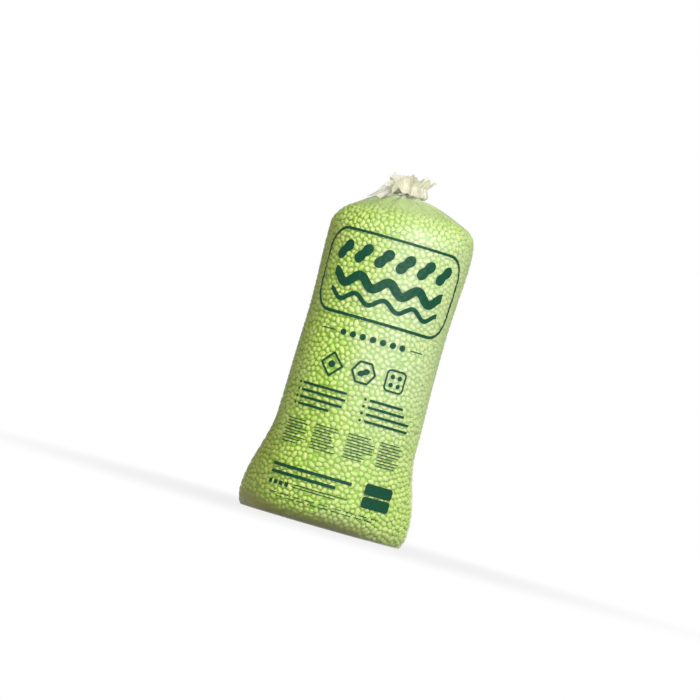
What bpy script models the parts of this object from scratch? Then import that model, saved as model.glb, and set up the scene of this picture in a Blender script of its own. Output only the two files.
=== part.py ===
"""A tall film sack of loose-fill packing peanuts, gathered and tied at the neck.

Metres, +Z up. The origin is at the middle of the flat base, the printed face looks along -Y.
The sack is one blown tube of film: welded straight across the bottom, filled, then gathered into pleats
and closed with a wire tie, above which the open mouth flares into a ruffle.
"""

import math
import random

import bpy
from mathutils import Vector, noise

# The film. The wall is thicker than real film, which is about 0.07 mm.
FILM_WALL = 0.0004
FIT_GAP = 0.0003

# The foot of the sack: a flat contact patch, rounded edges and the two ears where the weld ends.
FOOT_HALF_WIDTH = 0.357
FOOT_HALF_DEPTH = 0.190
EAR_HALF_WIDTH = 0.387
EAR_HEIGHT = 0.085
EAR_PINCH = 1.55
FOOT_ROUND_HEIGHT = 0.140
FLARE_TOP = 0.440

# The body, nearly a cylinder, a little slimmer at the waist.
LOWER_HALF_WIDTH = 0.319
WAIST_HALF_WIDTH = 0.311
WAIST_HEIGHT = 0.900
SHOULDER_HALF_WIDTH = 0.3235
SHOULDER_HEIGHT = 1.300
BODY_HALF_DEPTH = 0.300
DENT_DEPTH = 0.004
DENT_SIZE = 0.32

# The dome from the shoulders in to the neck, which stands left of the middle. The dome leans the same way:
# its right side is higher. Its curves run from the shoulder at (1, 0) to the neck at (0, NECK_RISE).
DOME_HEIGHT = 0.192
DOME_LEAN = 0.072
LEAN_RISE = 0.40
NECK_OFFSET = -0.030
NECK_RISE = 1.0
SHOULDER_CURVE = ((1.0, 0.0), (1.0, 0.23), (0.96, 0.47), (0.80, 0.61))
DOME_CURVE = ((0.80, 0.61), (0.52, 0.85), (0.24, 1.04), (0.0, NECK_RISE))
PLEATS = 14
PLEAT_DEPTH = 0.0045
PLEAT_START = 0.12
PLEAT_NARROWS = 0.63

# The neck that the tie closes.
NECK_RADIUS = 0.0160
NECK_PLEAT_DEPTH = 0.0022
NECK_LENGTH = 0.013

# The ruffle above the tie, by distance along the film: a collar that turns out over the dome, a bulge that
# leans back in, and a rim that flares. One side of it, the wing, droops over the dome instead. Tilts are
# from upright, in degrees, headings from +X. A lobe of the rim is its heading, spread and extra length,
# and a wave of the folds is how many go round, where they start and their share of the depth.
COLLAR_TILT = 94.0
COLLAR_FRONT_DROOP = 5.0
COLLAR_REACH = 0.074
COLLAR_TURN = 0.012
BULGE_TILT = -34.0
BULGE_REACH = 0.044
RIM_TILT = 42.0
RIM_REACH = 0.046
TURN_REACH = 0.030
WING_HEADING = 212.0
WING_SPREAD = 24.0
WING_FADE = 20.0
WING_COLLAR_TILT = 77.0
WING_DROOP_TILT = 128.0
RIM_LOBES = ((198.0, 24.0, 0.030), (180.0, 20.0, -0.066), (238.0, 20.0, -0.030))
RUFFLE_FOLDS = 5
RUFFLE_FOLD_DEPTH = 0.010
FOLD_WAVES = ((RUFFLE_FOLDS, 0.6, 1.0), (RUFFLE_FOLDS - 3, 2.0, 0.35))
RUFFLE_CRIMP_DEPTH = 0.005
RUFFLE_STEPS = 24

# The load of peanuts, up to its edge a share of the way up the dome's curve. It is heaped inside that edge
# in rings, each a share of the way out and a share of the way up. Its relief is the depth of the hollows
# between its lumps, which are two rows and two columns apart.
PEANUT_CLEARANCE = 0.004
PEANUT_RELIEF = 0.012
LUMP_UNEVENNESS = 0.35
HEAP_EDGE = 0.36
HEAP_RISE = 0.012
HEAP_RINGS = ((0.66, 0.6), (0.33, 0.9), (0.0, 1.0))

# The wire tie round the neck and its twisted tail. The opening is half the angle between the two ends of
# the loop, in radians.
WIRE_RADIUS = 0.0011
TAIL_LENGTH = 0.026
TAIL_TURNS = 1.25
STRAND_GAP = 0.0006
TAIL_HEADING = Vector((-0.55, -0.83, 0.03)).normalized()
TAIL_REACH = 0.010
TIE_OPENING = 0.55

# The faceting.
COLUMNS_PER_PLEAT = 4
COLUMNS = COLUMNS_PER_PLEAT * PLEATS
SEED = 11
STEP_ANGLE = 0.02
STEP_STATION = 0.01

NECK_BASE = SHOULDER_HEIGHT + NECK_RISE * DOME_HEIGHT
NECK_TOP = NECK_BASE + NECK_LENGTH
TIE_HEIGHT = NECK_BASE + 0.5 * NECK_LENGTH
NECK_CREST = NECK_RADIUS + NECK_PLEAT_DEPTH

# Stations along the film, from the weld under the sack to the mouth. A whole number starts each span.
UNDERSIDE, ROUNDING, FLARE, WALL, SHOULDER, DOME, NECK, RUFFLE, MOUTH = range(9)


def smooth(t):
    """An even rise from 0 to 1, flat at both ends."""
    t = min(max(t, 0.0), 1.0)
    return t * t * (3.0 - 2.0 * t)


def mix(a, b, t):
    return a + (b - a) * t


def bezier(points, t):
    """A point of a cubic curve given by four (across, up) points."""
    u = 1.0 - t
    weights = (u**3, 3.0 * u * u * t, 3.0 * u * t * t, t**3)
    return tuple(sum(w * p[i] for w, p in zip(weights, points)) for i in range(2))


def rounded_rise(low, high, height, z):
    """A quarter ellipse that leaves low flat along the floor and reaches high upright at height."""
    t = min(max(z / height, 0.0), 1.0)
    return mix(low, high, math.sqrt(1.0 - (1.0 - t) ** 2))


def half_width(z):
    """Half the width across the ears, up to the shoulders."""
    if z < EAR_HEIGHT:
        return rounded_rise(FOOT_HALF_WIDTH, EAR_HALF_WIDTH, EAR_HEIGHT, z)
    if z < FLARE_TOP:
        return mix(EAR_HALF_WIDTH, LOWER_HALF_WIDTH, smooth((z - EAR_HEIGHT) / (FLARE_TOP - EAR_HEIGHT)))
    if z < WAIST_HEIGHT:
        return mix(LOWER_HALF_WIDTH, WAIST_HALF_WIDTH, smooth((z - FLARE_TOP) / (WAIST_HEIGHT - FLARE_TOP)))
    return mix(
        WAIST_HALF_WIDTH, SHOULDER_HALF_WIDTH, smooth((z - WAIST_HEIGHT) / (SHOULDER_HEIGHT - WAIST_HEIGHT))
    )


def half_depth(z):
    return rounded_rise(FOOT_HALF_DEPTH, BODY_HALF_DEPTH, FOOT_ROUND_HEIGHT, z)


def ring(across, deep, pinch, centre, z, angle):
    """A point of a round section. A pinch over 1 draws its two sides in to an edge, as at the ears."""
    s = math.sin(angle)
    return Vector((centre + across * math.cos(angle), deep * math.copysign(abs(s) ** pinch, s), z))


def body_point(z, angle):
    pinch = mix(EAR_PINCH, 1.0, smooth(z / FLARE_TOP))
    return ring(half_width(z), half_depth(z), pinch, 0.0, z, angle)


def dome_point(share, rise, angle):
    """A point of the dome. share is 1 at the shoulder and 0 at the neck, which stays level."""
    across = mix(NECK_RADIUS, SHOULDER_HALF_WIDTH, share)
    deep = mix(NECK_RADIUS, BODY_HALF_DEPTH, share)
    centre = mix(NECK_OFFSET, 0.0, smooth(share))
    point = ring(across, deep, 1.0, centre, SHOULDER_HEIGHT + rise * DOME_HEIGHT, angle)
    beside_neck = point.x - NECK_OFFSET - NECK_RADIUS * math.cos(angle)
    point.z += DOME_LEAN * beside_neck * smooth(rise / LEAN_RISE)
    return point


def toward(angle, heading, flat, fade):
    """1 where angle is within flat degrees of heading, fading to 0 over the next fade degrees."""
    off = math.degrees(abs(math.remainder(angle - math.radians(heading), math.tau)))
    return smooth((flat + fade - off) / fade)


def turned(reach, middle):
    """From 0 to 1 as the film turns from one tilt to the next, round middle."""
    return smooth((reach - middle) / TURN_REACH + 0.5)


def ruffle_tilt(reach, angle, wing):
    """How far from upright the ruffle leans, at a distance reach along the film above the neck."""
    front = smooth(0.5 - 0.5 * math.sin(angle))
    collar = mix(COLLAR_TILT + COLLAR_FRONT_DROOP * front, WING_COLLAR_TILT, wing) * smooth(reach / COLLAR_TURN)
    tilt = mix(collar, mix(BULGE_TILT, WING_DROOP_TILT, wing), turned(reach, COLLAR_REACH))
    return mix(tilt, mix(RIM_TILT, WING_DROOP_TILT, wing), turned(reach, COLLAR_REACH + BULGE_REACH))


def ruffle_point(t, angle):
    """A point of the ruffle without its folds. t runs from the neck to the rim."""
    wing = toward(angle, WING_HEADING, WING_SPREAD, WING_FADE)
    length = COLLAR_REACH + BULGE_REACH + RIM_REACH
    length += sum(extra * toward(angle, heading, 0.0, spread) for heading, spread, extra in RIM_LOBES)
    step = length * t / RUFFLE_STEPS
    out, up = NECK_RADIUS, NECK_TOP
    for i in range(RUFFLE_STEPS):
        tilt = math.radians(ruffle_tilt(step * (i + 0.5), angle, wing))
        out += step * math.sin(tilt)
        up += step * math.cos(tilt)
    up += DOME_LEAN * (out - NECK_RADIUS) * math.cos(angle)
    return Vector((NECK_OFFSET + out * math.cos(angle), out * math.sin(angle), up))


def base_point(station, angle):
    """The film's surface without pleats, folds or dents."""
    span = min(int(station), RUFFLE)
    t = station - span
    if span == UNDERSIDE:
        rim = body_point(0.0, angle)
        return Vector((rim.x, rim.y * t, 0.0))
    if span == ROUNDING:
        return body_point(EAR_HEIGHT * (1.0 - math.cos(0.5 * math.pi * t)), angle)
    if span == FLARE:
        return body_point(mix(EAR_HEIGHT, FLARE_TOP, t), angle)
    if span == WALL:
        return body_point(mix(FLARE_TOP, SHOULDER_HEIGHT, t), angle)
    if span == SHOULDER:
        return dome_point(*bezier(SHOULDER_CURVE, t), angle)
    if span == DOME:
        return dome_point(*bezier(DOME_CURVE, t), angle)
    if span == NECK:
        return ring(NECK_RADIUS, NECK_RADIUS, 1.0, NECK_OFFSET, mix(NECK_BASE, NECK_TOP, t), angle)
    return ruffle_point(t, angle)


def outward(station, angle):
    """The film's outward direction, from its neighbours along and round the sack."""
    if station < ROUNDING + STEP_STATION:
        return Vector((0.0, 0.0, -1.0))
    low = max(station - STEP_STATION, ROUNDING + STEP_STATION)
    high = min(station + STEP_STATION, MOUTH)
    along = base_point(high, angle) - base_point(low, angle)
    round_it = base_point(station, angle + STEP_ANGLE) - base_point(station, angle - STEP_ANGLE)
    return round_it.cross(along).normalized()


def relief(station, angle):
    """How far the film stands out from its plain surface: dents on the body, pleats and folds above it."""
    if station <= ROUNDING:
        return 0.0
    if station < SHOULDER:
        there = noise.noise(base_point(station, angle) / DENT_SIZE)
        edge = smooth(station - FLARE) * smooth(SHOULDER - station)
        return DENT_DEPTH * there * edge
    pleat = math.cos(PLEATS * angle)
    if station < DOME:
        return PLEAT_START * PLEAT_DEPTH * pleat * smooth(station - SHOULDER)
    if station < NECK:
        t = station - DOME
        depth = mix(PLEAT_START, 1.0, smooth(t / PLEAT_NARROWS)) * PLEAT_DEPTH
        return pleat * mix(depth, NECK_PLEAT_DEPTH, smooth((t - PLEAT_NARROWS) / (1.0 - PLEAT_NARROWS)))
    if station < RUFFLE:
        return pleat * NECK_PLEAT_DEPTH
    t = station - RUFFLE
    fold = sum(share * math.sin(count * angle + start) for count, start, share in FOLD_WAVES)
    crimp = mix(NECK_PLEAT_DEPTH, RUFFLE_CRIMP_DEPTH, t) * pleat
    return crimp + RUFFLE_FOLD_DEPTH * fold * smooth(t)


def film_point(station, angle):
    return base_point(station, angle) + relief(station, angle) * outward(station, angle)


def stations(rows):
    """The rows of a mesh: rows names how many intervals each span is divided into."""
    found = [float(UNDERSIDE)]
    for span, count in rows:
        found += [span + (i + 1) / count for i in range(count)]
    return found


def column_angles():
    return [math.tau * column / COLUMNS for column in range(COLUMNS)]


def grid_faces(row_count):
    """Quads between neighbouring rows of a closed tube, facing out."""
    faces = []
    for row in range(row_count - 1):
        for column in range(COLUMNS):
            beside = (column + 1) % COLUMNS
            low, high = row * COLUMNS, (row + 1) * COLUMNS
            faces.append((low + column, low + beside, high + beside, high + column))
    return faces


def new_object(name, points, faces, material):
    """A smooth-shaded object. Points that coincide, as along the weld, become one."""
    mesh = bpy.data.meshes.new(name)
    mesh.from_pydata(points, [], faces)
    mesh.materials.append(material)
    obj = bpy.data.objects.new(name, mesh)
    bpy.context.scene.collection.objects.link(obj)
    weld = obj.modifiers.new("Weld", "WELD")
    weld.merge_threshold = 0.00005
    mesh.shade_smooth()
    mesh.set_sharp_from_angle(angle=math.radians(60.0))
    return obj


def new_material(name, colour, roughness, alpha=1.0):
    material = bpy.data.materials.new(name)
    material.use_nodes = True
    shader = material.node_tree.nodes["Principled BSDF"]
    shader.inputs["Base Color"].default_value = (*colour, 1.0)
    shader.inputs["Roughness"].default_value = roughness
    shader.inputs["Metallic"].default_value = 0.0
    shader.inputs["Alpha"].default_value = alpha
    material.diffuse_color = (*colour, alpha)
    return material


def make_film():
    """The sack: one sheet of film from the weld round the load, through the neck and out to the mouth."""
    rows = stations(
        (
            (UNDERSIDE, 2),
            (ROUNDING, 4),
            (FLARE, 5),
            (WALL, 7),
            (SHOULDER, 4),
            (DOME, 7),
            (NECK, 2),
            (RUFFLE, 13),
        )
    )
    points = [film_point(row, angle) for row in rows for angle in column_angles()]
    milky = new_material("film", (0.80, 0.90, 0.72), 0.35, alpha=0.45)
    film = new_object("film_sack", points, grid_faces(len(rows)), milky)
    wall = film.modifiers.new("Wall", "SOLIDIFY")
    wall.thickness = FILM_WALL
    wall.offset = -1.0
    return film


def make_load():
    """The peanuts as one heaped load that stands on the film's floor, with a lumpy surface."""
    below = ((UNDERSIDE, 2), (ROUNDING, 4), (FLARE, 10), (WALL, 24), (SHOULDER, 6))
    rows = stations(below) + [DOME + 0.5 * HEAP_EDGE, DOME + HEAP_EDGE]
    uneven = random.Random(SEED)
    points = []
    for number, row in enumerate(rows):
        raised = smooth(row - ROUNDING)
        for column, angle in enumerate(column_angles()):
            hollow = mix((number + column) % 2, uneven.random(), LUMP_UNEVENNESS)
            inset = mix(FILM_WALL + FIT_GAP, PEANUT_CLEARANCE + PEANUT_RELIEF * hollow, raised)
            points.append(film_point(row, angle) - inset * outward(row, angle))
    last = points[-COLUMNS:]
    top = sum(last, Vector()) / COLUMNS
    for share, rise in HEAP_RINGS:
        points += [mix(top, rim, share) + Vector((0.0, 0.0, HEAP_RISE * rise)) for rim in last]
    green = new_material("peanuts", (0.62, 0.82, 0.36), 0.8)
    return new_object("peanut_load", points, grid_faces(len(rows) + len(HEAP_RINGS)), green)


def tie_path():
    """The wire's centre line: up one strand of the twisted tail, round the neck and back down the other."""
    loop_radius = NECK_CREST + FIT_GAP + WIRE_RADIUS
    twist_radius = WIRE_RADIUS + 0.5 * STRAND_GAP
    centre = Vector((NECK_OFFSET, 0.0, TIE_HEIGHT))
    heading = math.atan2(TAIL_HEADING.y, TAIL_HEADING.x)
    flat_side = Vector((-math.sin(heading), math.cos(heading), 0.0))
    other_side = TAIL_HEADING.cross(flat_side)
    root = centre + Vector((math.cos(heading), math.sin(heading), 0.0)) * (loop_radius + TAIL_REACH)
    strand_steps, loop_steps = 22, 26

    def strand(side):
        found = []
        for i in range(strand_steps + 1):
            t = i / strand_steps
            turn = math.tau * TAIL_TURNS * t
            around = flat_side * math.cos(turn) + other_side * math.sin(turn)
            found.append(root + TAIL_HEADING * (TAIL_LENGTH * t) + around * (side * twist_radius))
        return found

    loop = []
    for i in range(loop_steps + 1):
        angle = heading + TIE_OPENING + (math.tau - 2.0 * TIE_OPENING) * i / loop_steps
        loop.append(centre + Vector((math.cos(angle), math.sin(angle), 0.0)) * loop_radius)
    first, second = strand(1.0), strand(-1.0)
    lead_in = [mix(first[0], loop[0], t) for t in (0.35, 0.70)]
    lead_out = [mix(loop[-1], second[0], t) for t in (0.30, 0.65)]
    return first[::-1] + lead_in + loop + lead_out + second


def make_tie():
    curve = bpy.data.curves.new("neck_tie", "CURVE")
    curve.dimensions = "3D"
    curve.bevel_depth = WIRE_RADIUS
    curve.bevel_resolution = 1
    curve.use_fill_caps = True
    spline = curve.splines.new("POLY")
    points = tie_path()
    spline.points.add(len(points) - 1)
    for slot, point in zip(spline.points, points):
        slot.co = (*point, 1.0)
    curve.materials.append(new_material("tie", (0.86, 0.85, 0.80), 0.5))
    tie = bpy.data.objects.new("neck_tie", curve)
    bpy.context.scene.collection.objects.link(tie)
    return tie


def main():
    for obj in list(bpy.data.objects):
        bpy.data.objects.remove(obj)
    make_film()
    make_load()
    make_tie()


main()
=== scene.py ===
"""The dressed packing peanut bag: film, ruffle, print, tie and several thousand separate peanuts.

Metres, +Z up, in the frame of the solids. The sack's formulas repeat those of the part's source, because
the film here needs a finer mesh, and the peanuts are pressed against it before it is drawn over them.
"""

import math

import bpy
import numpy as np
from mathutils import Matrix, Vector, noise
from mathutils.bvhtree import BVHTree
from mathutils.kdtree import KDTree


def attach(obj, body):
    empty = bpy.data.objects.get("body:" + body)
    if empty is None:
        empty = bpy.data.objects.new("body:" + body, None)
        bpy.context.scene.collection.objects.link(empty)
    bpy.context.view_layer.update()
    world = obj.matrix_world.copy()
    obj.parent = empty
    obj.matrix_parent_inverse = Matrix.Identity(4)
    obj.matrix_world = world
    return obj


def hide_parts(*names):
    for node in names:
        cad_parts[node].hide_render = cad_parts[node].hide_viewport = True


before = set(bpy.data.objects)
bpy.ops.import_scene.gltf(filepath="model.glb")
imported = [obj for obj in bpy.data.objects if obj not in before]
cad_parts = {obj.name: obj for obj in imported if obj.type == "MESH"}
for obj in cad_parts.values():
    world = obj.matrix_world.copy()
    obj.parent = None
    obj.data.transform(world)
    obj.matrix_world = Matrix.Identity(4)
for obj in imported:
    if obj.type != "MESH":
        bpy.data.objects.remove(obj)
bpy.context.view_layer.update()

SEED = 23

# The sack, as in the part's source.
FOOT_HALF_WIDTH = 0.357
FOOT_HALF_DEPTH = 0.190
EAR_HALF_WIDTH = 0.387
EAR_HEIGHT = 0.085
EAR_PINCH = 1.55
FOOT_ROUND_HEIGHT = 0.140
FLARE_TOP = 0.440
LOWER_HALF_WIDTH = 0.319
WAIST_HALF_WIDTH = 0.311
WAIST_HEIGHT = 0.900
SHOULDER_HALF_WIDTH = 0.3235
SHOULDER_HEIGHT = 1.300
BODY_HALF_DEPTH = 0.300
DENT_DEPTH = 0.004
DENT_SIZE = 0.32
DOME_HEIGHT = 0.192
DOME_LEAN = 0.072
LEAN_RISE = 0.40
NECK_OFFSET = -0.030
NECK_RISE = 1.0
SHOULDER_CURVE = ((1.0, 0.0), (1.0, 0.23), (0.96, 0.47), (0.80, 0.61))
DOME_CURVE = ((0.80, 0.61), (0.52, 0.85), (0.24, 1.04), (0.0, NECK_RISE))
PLEATS = 14
PLEAT_DEPTH = 0.0045
PLEAT_START = 0.12
PLEAT_NARROWS = 0.63
NECK_RADIUS = 0.0160
NECK_PLEAT_DEPTH = 0.0022
NECK_LENGTH = 0.013
COLLAR_TILT = 94.0
COLLAR_FRONT_DROOP = 5.0
COLLAR_REACH = 0.074
COLLAR_TURN = 0.012
BULGE_TILT = -34.0
BULGE_REACH = 0.044
RIM_TILT = 42.0
RIM_REACH = 0.046
TURN_REACH = 0.030
WING_HEADING = 212.0
WING_SPREAD = 24.0
WING_FADE = 20.0
WING_COLLAR_TILT = 77.0
WING_DROOP_TILT = 128.0
RIM_LOBES = ((198.0, 24.0, 0.030), (180.0, 20.0, -0.066), (238.0, 20.0, -0.030))
RUFFLE_FOLDS = 5
RUFFLE_FOLD_DEPTH = 0.010
FOLD_WAVES = ((RUFFLE_FOLDS, 0.6, 1.0), (RUFFLE_FOLDS - 3, 2.0, 0.35))
RUFFLE_STEPS = 24
NECK_BASE = SHOULDER_HEIGHT + NECK_RISE * DOME_HEIGHT
NECK_TOP = NECK_BASE + NECK_LENGTH

# Stations along the film, from the weld under the sack to the neck. A whole number starts each span.
UNDERSIDE, ROUNDING, FLARE, WALL, SHOULDER, DOME, NECK = range(7)
FRONT_COLUMN_SHARE = 0.75

# The film's fine mesh, as the number of rows in each span.
FILM_COLUMNS = 320
FILM_ROWS = ((UNDERSIDE, 12), (ROUNDING, 16), (FLARE, 56), (WALL, 136), (SHOULDER, 24), (DOME, 32), (NECK, 3))
RUFFLE_COLUMNS = 448
RUFFLE_ROWS = 44

# The coarse mesh that the peanuts are pressed against, and the core's.
PRESS_COLUMNS = 160
PRESS_ROWS = ((UNDERSIDE, 4), (ROUNDING, 8), (FLARE, 22), (WALL, 46), (SHOULDER, 12), (DOME, 16), (NECK, 2))
CORE_COLUMNS = 128
CORE_ROWS = ((UNDERSIDE, 4), (ROUNDING, 6), (FLARE, 22), (WALL, 56), (SHOULDER, 10), (DOME, 14))

# The film is drawn over the peanuts and sags a little between them.
FILM_REST = 0.0022
FILM_STAND_OFF = 0.0035
FILM_SAG = 0.0020
FILM_CLEARANCE = 0.0012
FILM_EASING_STEPS = 5
FILM_EASING = 0.15

# The gathers fan out from the neck over the dome.
GATHERS = 64
GATHER_DEPTH = 0.0038
GATHER_REACH = (0.05, 0.30)
GATHER_WIDTH = (0.0035, 0.0065)
GATHER_WIDENS = 0.055
GATHER_WANDER = 0.25
GATHER_START = 0.05

# Slack creases lie near the ears, or under the shoulders: their levels, their leans and their spread.
CREASES = 46
CREASE_DEPTH = 0.0028
CREASE_LENGTH = (0.06, 0.20)
CREASE_WIDTH = (0.007, 0.014)
CREASE_RADIUS = 0.31
LOW_CREASES = ((0.10, 0.42), (-0.9, 0.9), 0.55)
HIGH_CREASES = ((1.02, 1.34), (-0.35, 0.35), 0.2)

# The ruffle's crimps and ragged rim. A wave is its count round the rim, its start and its strength.
RIM_WAVES = ((8, 1.0, 0.035), (13, 0.0, 0.025), (31, 0.0, 0.018))
CRIMPS = (11, 17, 25, 37)
CRIMP_DEPTH = 0.075
CRIMP_TWIST = 1.5
CRIMP_SLIDE = 0.002
CRIMP_SLIDE_START = 1.1
ROUGH_SIZE = 0.03
ROUGH_DEPTH = 0.004

# The film twisted shut inside the neck.
THROAT_ROWS = 12
THROAT_DIP = 0.007
THROAT_TWIST = 0.9
THROAT_FOLD_DEPTH = 0.0022

# A peanut: two lobes of foam with a waist, a little flat and a little bent.
PEANUT_LENGTH = 0.0340
PEANUT_LOBE = 0.0129
PEANUT_WAIST = 0.0115
PEANUT_END = 0.58
PEANUT_END_AT = 0.90
PEANUT_TIP = 1.03
LOBE_SPACING = 0.0120
PEANUT_FLATNESS = 0.92
PEANUT_BEND = 0.0022
PEANUT_SEGMENTS = 8
PEANUT_KINDS = 7

# The heap: how the peanuts are scattered and settled under the film.
PEANUT_AREA = 0.00070
PEANUTS_PER_PIECE = 2200
PEANUT_SIZES = (0.90, 1.10)
PEANUT_DEPTHS = (0.010, 0.020)
PEANUT_SLACK = 0.0035
LYING_SHARE = 0.8
SETTLING_STEPS = 36
STEPS_PER_SEARCH = 4
SEARCH_MARGIN = 0.003
PUSH_SHARE = 0.30
PULL_SHARE = 0.15
HEAP_TOP = DOME + 0.75
CORE_DEPTH = 0.014
CORE_FLOOR = 0.012
PEBBLE_SIZE = 0.016
PEBBLE_DEPTH = 0.006

# The print is worked out flat, in metres: across from the middle of the front, and up from the floor.
INK_STEP = 0.004
INK_PROUD = 0.0009

TINY = 1e-12


def smooth(t):
    t = np.clip(t, 0.0, 1.0)
    return t * t * (3.0 - 2.0 * t)


def mix(a, b, t):
    return a + (b - a) * t


def unit(vectors):
    """The same directions, each of length 1."""
    return vectors / np.maximum(np.linalg.norm(vectors, axis=-1, keepdims=True), TINY)


def bezier(points, t):
    u = 1.0 - t
    weights = (u**3, 3.0 * u * u * t, 3.0 * u * t * t, t**3)
    return tuple(sum(w * p[i] for w, p in zip(weights, points)) for i in range(2))


def rounded_rise(low, high, height, z):
    t = min(max(z / height, 0.0), 1.0)
    return mix(low, high, math.sqrt(1.0 - (1.0 - t) ** 2))


def half_width(z):
    if z < EAR_HEIGHT:
        return rounded_rise(FOOT_HALF_WIDTH, EAR_HALF_WIDTH, EAR_HEIGHT, z)
    if z < FLARE_TOP:
        return mix(EAR_HALF_WIDTH, LOWER_HALF_WIDTH, smooth((z - EAR_HEIGHT) / (FLARE_TOP - EAR_HEIGHT)))
    if z < WAIST_HEIGHT:
        return mix(LOWER_HALF_WIDTH, WAIST_HALF_WIDTH, smooth((z - FLARE_TOP) / (WAIST_HEIGHT - FLARE_TOP)))
    share = smooth((z - WAIST_HEIGHT) / (SHOULDER_HEIGHT - WAIST_HEIGHT))
    return mix(WAIST_HALF_WIDTH, SHOULDER_HALF_WIDTH, share)


def ring(across, deep, pinch, centre, z, angles):
    """A row of points of a round section, one for each angle."""
    s = np.sin(angles)
    x = centre + across * np.cos(angles)
    y = deep * np.copysign(np.abs(s) ** pinch, s)
    return np.stack((x, y, np.full_like(angles, z)), axis=1)


def body_row(z, angles):
    pinch = mix(EAR_PINCH, 1.0, smooth(z / FLARE_TOP))
    deep = rounded_rise(FOOT_HALF_DEPTH, BODY_HALF_DEPTH, FOOT_ROUND_HEIGHT, z)
    return ring(half_width(z), deep, pinch, 0.0, z, angles)


def dome_row(share, rise, angles):
    across = mix(NECK_RADIUS, SHOULDER_HALF_WIDTH, share)
    deep = mix(NECK_RADIUS, BODY_HALF_DEPTH, share)
    centre = mix(NECK_OFFSET, 0.0, smooth(share))
    row = ring(across, deep, 1.0, centre, SHOULDER_HEIGHT + rise * DOME_HEIGHT, angles)
    beside_neck = row[:, 0] - NECK_OFFSET - NECK_RADIUS * np.cos(angles)
    row[:, 2] += DOME_LEAN * beside_neck * smooth(rise / LEAN_RISE)
    return row


def off_from(angles, heading):
    """The angle from heading, between minus and plus half a turn."""
    return (angles - heading + math.pi) % math.tau - math.pi


def toward(angles, heading, flat, fade):
    """1 where an angle is within flat degrees of heading, fading to 0 over the next fade degrees."""
    off = np.degrees(np.abs(off_from(angles, math.radians(heading))))
    return smooth((flat + fade - off) / fade)


def turned_by(reach, middle):
    """From 0 to 1 as the film turns from one tilt to the next, round middle."""
    return smooth((reach - middle) / TURN_REACH + 0.5)


def ruffle_tilt(reach, angles, wing):
    """How far the ruffle leans out from upright, in degrees, at a reach along it."""
    front = smooth(0.5 - 0.5 * np.sin(angles))
    collar = mix(COLLAR_TILT + COLLAR_FRONT_DROOP * front, WING_COLLAR_TILT, wing)
    collar = collar * smooth(reach / COLLAR_TURN)
    tilt = mix(collar, mix(BULGE_TILT, WING_DROOP_TILT, wing), turned_by(reach, COLLAR_REACH))
    return mix(tilt, mix(RIM_TILT, WING_DROOP_TILT, wing), turned_by(reach, COLLAR_REACH + BULGE_REACH))


def neck_row(reach, angles, up):
    """A row of points round the middle of the neck."""
    return np.stack((NECK_OFFSET + reach * np.cos(angles), reach * np.sin(angles), up), axis=1)


def ruffle_row(t, angles, longer):
    """A row of the ruffle without its folds. longer stretches it, for an uneven rim."""
    wing = toward(angles, WING_HEADING, WING_SPREAD, WING_FADE)
    length = COLLAR_REACH + BULGE_REACH + RIM_REACH
    for heading, spread, extra in RIM_LOBES:
        length = length + extra * toward(angles, heading, 0.0, spread)
    step = length * longer * t / RUFFLE_STEPS
    out = np.full_like(angles, NECK_RADIUS)
    up = np.full_like(angles, NECK_TOP)
    for i in range(RUFFLE_STEPS):
        tilt = np.radians(ruffle_tilt(step * (i + 0.5), angles, wing))
        out = out + step * np.sin(tilt)
        up = up + step * np.cos(tilt)
    return neck_row(out, angles, up + DOME_LEAN * (out - NECK_RADIUS) * np.cos(angles))


def film_row(station, angles):
    """A row of the film's plain surface, up to the top of the neck."""
    span = min(int(station), NECK)
    t = station - span
    if span == UNDERSIDE:
        return body_row(0.0, angles) * (1.0, t, 1.0)
    if span == ROUNDING:
        return body_row(EAR_HEIGHT * (1.0 - math.cos(0.5 * math.pi * t)), angles)
    if span == FLARE:
        return body_row(mix(EAR_HEIGHT, FLARE_TOP, t), angles)
    if span == WALL:
        return body_row(mix(FLARE_TOP, SHOULDER_HEIGHT, t), angles)
    if span == SHOULDER:
        return dome_row(*bezier(SHOULDER_CURVE, t), angles)
    if span == DOME:
        return dome_row(*bezier(DOME_CURVE, t), angles)
    return neck_row(NECK_RADIUS, angles, np.full_like(angles, mix(NECK_BASE, NECK_TOP, t)))


def stations(rows):
    """The station of each row, for the number of rows in each span."""
    found = [float(UNDERSIDE)]
    for span, count in rows:
        found += [span + (i + 1) / count for i in range(count)]
    return np.array(found)


def normals_of(grid):
    """The outward direction at each point of a tube of rows and columns."""
    round_it = np.roll(grid, -1, axis=1) - np.roll(grid, 1, axis=1)
    along = np.gradient(grid, axis=0)
    return unit(np.cross(round_it, along))


def grid_faces(rows, columns, closed=True, first=0):
    """The quads of a grid of points, facing out. closed joins the last column to the first."""
    at = first + np.arange(rows * columns).reshape(rows, columns)
    if closed:
        at = np.concatenate((at, at[:, :1]), axis=1)
    quads = np.stack((at[:-1, :-1], at[:-1, 1:], at[1:, 1:], at[1:, :-1]), axis=-1)
    return quads.reshape(-1, 4)


def noise_at(points, size, seed=0.0):
    """Noise from -1 to 1 at each point, with swells about size across."""
    shift = Vector((seed, -seed, 0.5 * seed))
    flat = points.reshape(-1, 3) / size
    return np.array([noise.noise(Vector(p) + shift) for p in flat]).reshape(points.shape[:-1])


def tree_of(points):
    """A search tree of points, which gives their numbers."""
    tree = KDTree(len(points))
    for i, point in enumerate(points):
        tree.insert(point, i)
    tree.balance()
    return tree


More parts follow.
